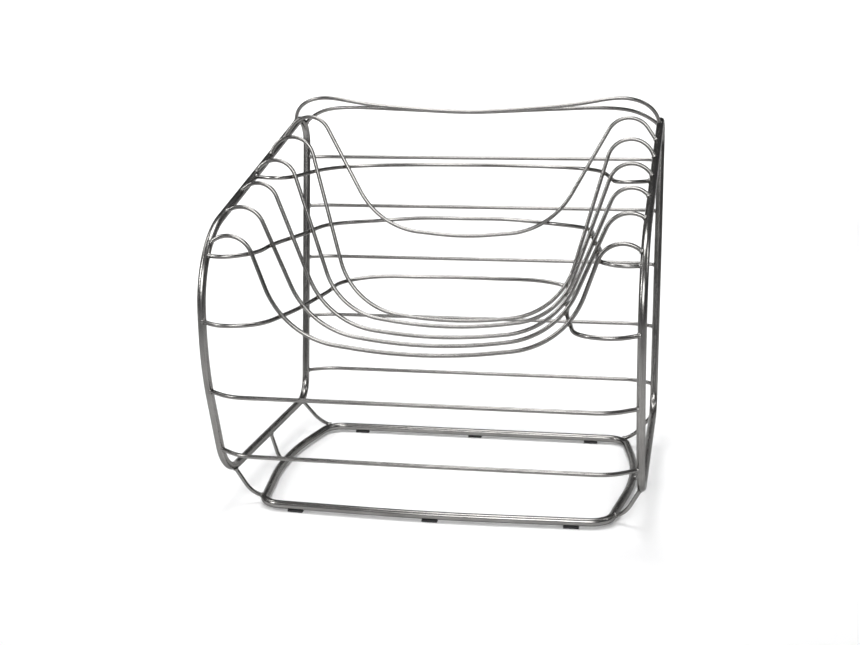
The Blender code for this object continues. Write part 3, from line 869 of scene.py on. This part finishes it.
def check_place(piece, node):
    """Stop when a rebuilt piece doesn't fill the box of its CAD node."""
    low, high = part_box(node)
    verts = np.array([vert.co for vert in piece.data.vertices])
    off = max(np.abs(verts.min(axis=0) - low).max(), np.abs(verts.max(axis=0) - high).max())
    if off > PLACE_SLACK:
        raise RuntimeError(f"{piece.name} is {off * 1000:.1f} mm away from the box of {node}")


def settings(context):
    """The chair's sizes and finishes, with every centreline."""
    scene = context.scene
    return scene.wire_chair_sizes, scene.wire_chair_finish, ChairLines(scene.wire_chair_sizes)


def add_rods(context, names):
    """Build the named rods and put them in the place of their CAD nodes."""
    sizes, finish, chair = settings(context)
    spots = weld_spots(chair.rods, sizes)
    material = steel_finish("stainless_rod", finish)
    for name in names:
        piece = rod_piece(f"{name}_bar", chair.rods[name], chair, spots, sizes)
        settle(piece, material, STEEL_SLOT, name)
        check_place(piece, name)


def glide_piece(name, node, chair, sizes):
    """One rubber glide: a soft-edged block with a saddle for the tube and two grooves in its sole."""
    low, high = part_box(node)
    middle = (low + high) / 2
    ring = chair.ring
    gaps = np.linalg.norm(ring[:, :2] - np.array(middle[:2]), axis=1)
    i = int(np.argmin(gaps))
    along = ring[min(i + 1, len(ring) - 1)] - ring[max(i - 1, 0)]
    heading = math.atan2(along[1], along[0])
    spot = ring[i] + (middle.x - ring[i][0]) * along / along[0]
    shape = bmesh.new()
    nx, ny = GLIDE_GRID
    top, sole = [], []
    for a in range(nx + 1):
        for b in range(ny + 1):
            x = (a / nx - 0.5) * GLIDE_SIZE[0]
            y = (b / ny - 0.5) * GLIDE_SIZE[1]
            grooves = [math.exp(-((x - at) / GROOVE_WIDTH) ** 2) for at in (-GROOVE_X, GROOVE_X)]
            saddle = RING_Z - math.sqrt((sizes.tube_diameter / 2) ** 2 - y * y)
            top.append(shape.verts.new((x, y, min(GLIDE_SIZE[2], saddle + SADDLE_GRIP))))
            sole.append(shape.verts.new((x, y, GROOVE_DEPTH * sum(grooves))))

    def number(a, b):
        return a * (ny + 1) + b

    for a in range(nx):
        for b in range(ny):
            corners = (number(a, b), number(a + 1, b), number(a + 1, b + 1), number(a, b + 1))
            shape.faces.new([top[k] for k in corners])
            shape.faces.new([sole[k] for k in reversed(corners)])
    rim = [number(a, 0) for a in range(nx)] + [number(nx, b) for b in range(ny)]
    rim += [number(a, ny) for a in range(nx, 0, -1)] + [number(0, b) for b in range(ny, 0, -1)]
    for here, ahead in zip(rim, rim[1:] + rim[:1]):
        shape.faces.new((sole[here], sole[ahead], top[ahead], top[here]))
    bmesh.ops.recalc_face_normals(shape, faces=shape.faces)
    mesh = smooth_mesh(name, shape)
    mesh.set_sharp_from_angle(angle=math.radians(40))
    piece = placed(name, mesh)
    edge = piece.modifiers.new("soft edges", "BEVEL")
    edge.width = GLIDE_EDGE
    edge.segments = 3
    edge.angle_limit = math.radians(50)
    piece.matrix_world = Matrix.Translation((spot[0], spot[1], 0.0)) @ Matrix.Rotation(heading, 4, "Z")
    return piece


class WIRECHAIR_OT_side_frames(bpy.types.Operator):
    """Add the two side frames of bent tube"""

    bl_idname = "wire_chair.side_frames"
    bl_label = "Side Frames"

    def execute(self, context):
        sizes, finish, chair = settings(context)
        feet = [line[i] for line in chair.rods.values() for i in (0, -1) if line[i][0] > 0]
        seam = (chair.side_x, chair.middle_y + SIDE_SEAM_Y, BAR_Z)
        material = steel_finish("stainless_tube", finish)
        for hand, flip in (("right", 1), ("left", -1)):
            mirror = np.array((flip, 1, 1))
            piece = tube_piece(f"side_frame_{hand}_tube", chair.side * mirror, np.array(feet) * mirror,
                               np.array(seam) * mirror, sizes)
            settle(piece, material, STEEL_SLOT, f"side_frame_{hand}")
            check_place(piece, f"side_frame_{hand}")
        return {"FINISHED"}


class WIRECHAIR_OT_base_ring(bpy.types.Operator):
    """Add the base ring of bent tube"""

    bl_idname = "wire_chair.base_ring"
    bl_label = "Base Ring"

    def execute(self, context):
        sizes, finish, chair = settings(context)
        feet = [line[-1] for name, line in chair.rods.items() if name.startswith("strut")]
        seam = (RING_SEAM_X, chair.heel_y - RING_REAR_FORWARD, RING_Z)
        piece = tube_piece("base_ring_tube", chair.ring, feet, seam, sizes)
        settle(piece, steel_finish("stainless_tube", finish), STEEL_SLOT, "base_ring")
        check_place(piece, "base_ring")
        return {"FINISHED"}


class WIRECHAIR_OT_seat_rods(bpy.types.Operator):
    """Add the U-shaped rods of the seat and the back"""

    bl_idname = "wire_chair.seat_rods"
    bl_label = "Seat Rods"

    def execute(self, context):
        add_rods(context, [*(f"seat_rod_{i}" for i in range(1, ROD_COUNT)), "back_rod"])
        return {"FINISHED"}


class WIRECHAIR_OT_hoops(bpy.types.Operator):
    """Add the hoops that tie the seat rods together"""

    bl_idname = "wire_chair.hoops"
    bl_label = "Hoops"

    def execute(self, context):
        add_rods(context, list(HOOPS))
        return {"FINISHED"}


class WIRECHAIR_OT_top_rails(bpy.types.Operator):
    """Add the top rail of the back and its brace"""

    bl_idname = "wire_chair.top_rails"
    bl_label = "Top Rails"

    def execute(self, context):
        add_rods(context, ["top_rail", "top_brace"])
        return {"FINISHED"}


class WIRECHAIR_OT_cross_rails(bpy.types.Operator):
    """Add the rails across the front and the back"""

    bl_idname = "wire_chair.cross_rails"
    bl_label = "Cross Rails"

    def execute(self, context):
        fronts = [f"front_rail_{name}" for name in FRONT_RAIL_Z]
        add_rods(context, fronts + [f"back_rail_{i}" for i in range(1, len(BACK_RAIL_Z) + 1)])
        return {"FINISHED"}


class WIRECHAIR_OT_struts(bpy.types.Operator):
    """Add the struts between the side frames and the base ring"""

    bl_idname = "wire_chair.struts"
    bl_label = "Struts"

    def execute(self, context):
        add_rods(context, [f"strut_{place}_{hand}" for place in STRUT_SPLAY for hand in ("right", "left")])
        return {"FINISHED"}


class WIRECHAIR_OT_welds(bpy.types.Operator):
    """Add the beads where a hoop is welded to a seat rod"""

    bl_idname = "wire_chair.welds"
    bl_label = "Crossing Welds"

    def execute(self, context):
        sizes, finish, chair = settings(context)
        shape = bmesh.new()
        size = [sizes.rod_diameter * share for share in BEAD_SIZE]
        for seed, spot in enumerate(weld_spots(chair.rods, sizes)):
            weld_bead(shape, spot, size, seed)
        piece = placed("crossing_welds", smooth_mesh("crossing_welds", shape))
        settle(piece, steel_finish("stainless_weld", finish, welded=True), STEEL_SLOT)
        return {"FINISHED"}


class WIRECHAIR_OT_glides(bpy.types.Operator):
    """Add the moulded rubber glides under the base ring"""

    bl_idname = "wire_chair.glides"
    bl_label = "Glides"

    def execute(self, context):
        sizes, finish, chair = settings(context)
        material = rubber_finish(finish)
        for node in sorted(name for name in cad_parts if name.startswith("glide_")):
            piece = glide_piece(f"{node}_pad", node, chair, sizes)
            settle(piece, material, RUBBER_SLOT, node)
        return {"FINISHED"}


# Stage

def plain_material(name, colour, roughness):
    """Matt finish with a faint unevenness."""
    material, tree, shader, place = blank_finish(name)
    shader.inputs["Specular IOR Level"].default_value = 0.2
    clouds = noise_of(tree, place, 1.3, 2.0)
    darker = tuple(channel * 0.985 for channel in colour)
    tree.links.new(mixed(tree, clouds, darker, tuple(colour)), shader.inputs["Base Color"])
    shader.inputs["Roughness"].default_value = roughness
    return material


def softbox(name, place, target, size, power, spread):
    """A rectangular lamp with a grid that looks at a point."""
    lamp = bpy.data.lights.new(name, "AREA")
    lamp.shape = "RECTANGLE"
    lamp.size, lamp.size_y = size
    lamp.energy = power
    lamp.spread = math.radians(spread)
    rig = placed(name, lamp)
    rig.location = place
    rig.rotation_euler = (Vector(target) - Vector(place)).to_track_quat("-Z", "Y").to_euler()


# Name, place, the point that it looks at, size, watts and spread in degrees
LAMPS = (
    ("overhead", (-0.05, 0.20, 2.6), (0.0, 0.15, 0.0), (1.4, 1.2), 22.5, 130.0),
    ("left_floor", (-2.6, 0.2, 2.2), (-2.0, 0.2, 0.0), (0.4, 1.8), 12.5, 120.0),
    ("right_floor", (2.8, 0.2, 2.2), (2.1, 0.2, 0.0), (0.3, 1.8), 12.0, 120.0),
    ("left_front", (-2.4, -1.5, 1.9), (0.0, 0.0, 0.45), (0.4, 1.5), 4.5, 60.0),
    ("front", (0.4, -3.6, 2.5), (0.0, 0.3, 0.4), (3.0, 1.8), 19.0, 55.0),
    ("backdrop_wash", (-1.4, 1.6, 3.4), (-1.4, 4.2, 0.9), (5.6, 0.8), 150.0, 140.0),
)


class WIRECHAIR_OT_stage(bpy.types.Operator):
    """Add the floor with its backdrop, the lights and the camera"""

    bl_idname = "wire_chair.stage"
    bl_label = "Stage"

    def execute(self, context):
        stage = context.scene.wire_chair_stage
        shape = bmesh.new()
        profile = [(FLOOR_FRONT_Y, 0.0), (BACKDROP_Y, 0.0)]
        profile += [(BACKDROP_Y + BACKDROP_BEND * math.sin(t),
                     BACKDROP_BEND - BACKDROP_BEND * math.cos(t)) for t in BEND_ANGLES]
        profile.append((BACKDROP_Y + BACKDROP_BEND, BACKDROP_TOP))
        rows = [[shape.verts.new((x, y, z)) for x in (-FLOOR_SIDE_X, FLOOR_SIDE_X)] for y, z in profile]
        for here, ahead in zip(rows, rows[1:]):
            shape.faces.new((here[0], here[1], ahead[1], ahead[0]))
        floor = placed("studio_floor", smooth_mesh("studio_floor", shape))
        floor.data.materials.append(plain_material("studio_white", stage.floor, 0.9))

        for name, place, target, size, power, spread in LAMPS:
            softbox(name, place, target, size, power * stage.light, spread)
        world = bpy.data.worlds.new("studio")
        world.use_nodes = True
        world.node_tree.nodes["Background"].inputs["Color"].default_value = (*stage.surround, 1.0)
        context.scene.world = world
        context.scene.view_settings.view_transform = "Standard"

        lens = bpy.data.cameras.new("camera")
        lens.sensor_width = SENSOR_WIDTH
        lens.lens = stage.lens
        camera = placed("camera", lens)
        turned, raised = stage.azimuth, stage.elevation
        back = Vector((math.sin(turned) * math.cos(raised), -math.cos(turned) * math.cos(raised),
                       math.sin(raised)))
        across = Vector((0, 0, 1)).cross(back).normalized()
        up = back.cross(across)
        c, s = math.cos(stage.roll), math.sin(stage.roll)
        axes = Matrix((across * c + up * s, up * c - across * s, back)).transposed()
        camera.matrix_world = Matrix.Translation(stage.place) @ axes.to_4x4()
        context.scene.camera = camera
        return {"FINISHED"}


OPERATORS = (
    WIRECHAIR_OT_stage,
    WIRECHAIR_OT_side_frames,
    WIRECHAIR_OT_base_ring,
    WIRECHAIR_OT_seat_rods,
    WIRECHAIR_OT_hoops,
    WIRECHAIR_OT_top_rails,
    WIRECHAIR_OT_cross_rails,
    WIRECHAIR_OT_struts,
    WIRECHAIR_OT_welds,
    WIRECHAIR_OT_glides,
)


class WIRECHAIR_PT_sidebar(bpy.types.Panel):
    """Sizes, finishes and building steps of the wire chair"""

    bl_idname = "WIRECHAIR_PT_sidebar"
    bl_label = "Wire Lounge Chair"
    bl_space_type = "VIEW_3D"
    bl_region_type = "UI"
    bl_category = "Wire Chair"

    def draw(self, context):
        scene = context.scene
        for group in (scene.wire_chair_sizes, scene.wire_chair_finish, scene.wire_chair_stage):
            box = self.layout.box()
            for name in group.__annotations__:
                box.prop(group, name)
        for operator in OPERATORS:
            self.layout.operator(operator.bl_idname)


GROUPS = {
    "wire_chair_sizes": WireChairSizes,
    "wire_chair_finish": WireChairFinish,
    "wire_chair_stage": WireChairStage,
}


def register():
    for kind in (*GROUPS.values(), *OPERATORS, WIRECHAIR_PT_sidebar):
        bpy.utils.register_class(kind)
    for name, group in GROUPS.items():
        setattr(bpy.types.Scene, name, PointerProperty(type=group))


def unregister():
    for name in GROUPS:
        delattr(bpy.types.Scene, name)
    for kind in (WIRECHAIR_PT_sidebar, *reversed(OPERATORS), *reversed(GROUPS.values())):
        bpy.utils.unregister_class(kind)


def main():
    register()
    for operator in OPERATORS:
        group, name = operator.bl_idname.split(".")
        getattr(getattr(bpy.ops, group), name)()


if __name__ == "__main__":
    main()
